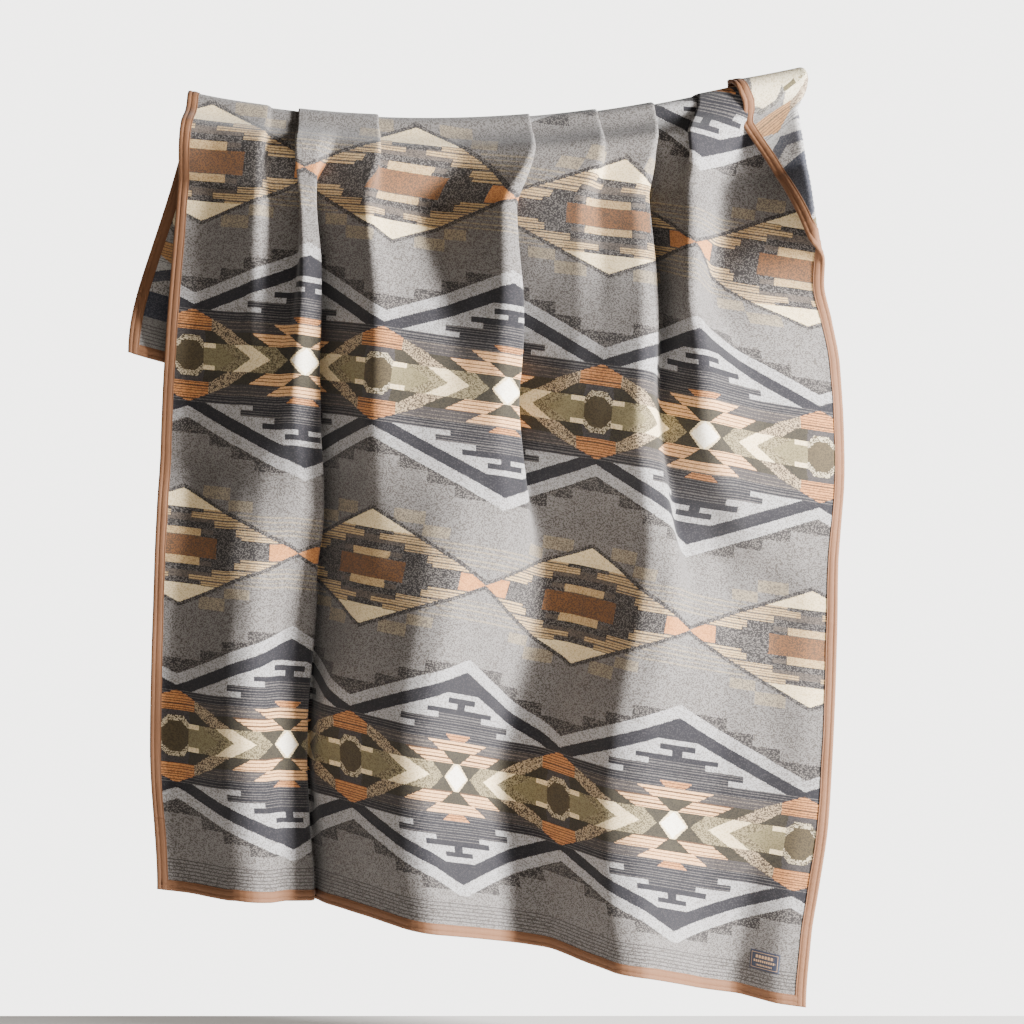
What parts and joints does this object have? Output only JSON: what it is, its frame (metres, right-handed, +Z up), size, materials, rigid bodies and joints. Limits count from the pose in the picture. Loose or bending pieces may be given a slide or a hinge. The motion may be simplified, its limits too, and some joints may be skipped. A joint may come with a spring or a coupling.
{
  "type": "camp blanket",
  "caption": "Large patterned wool camp blanket with folded binding on every edge, hung askew over a sagging rope in soft vertical folds, one side turned back at the top.",
  "frame": {"origin": "on the rope's centreline, at the lowest point of its sag, under the fold of the blanket", "axes": "+X along the rope to the right of someone facing the front drop, +Y from the front drop to the back drop, +Z up"},
  "size_m": [1.3848, 0.2608, 1.8044],
  "materials": {
    "wool_cloth": "napped wool double cloth",
    "binding_cloth": "felted wool tape",
    "thread": "matt sewing thread",
    "label_weave": "fine damask weave"
  },
  "bodies": {
    "root": {"woven_cloth": "wool_cloth", "binding_left_upper": "binding_cloth", "binding_left_lower": "binding_cloth", "binding_right": "binding_cloth", "binding_front_hem": "binding_cloth", "binding_back_hem": "binding_cloth", "stitching_left": "thread", "stitching_right": "thread", "stitching_front_hem": "thread", "stitching_back_hem": "thread", "label": "label_weave"}
  },
  "joints": []
}
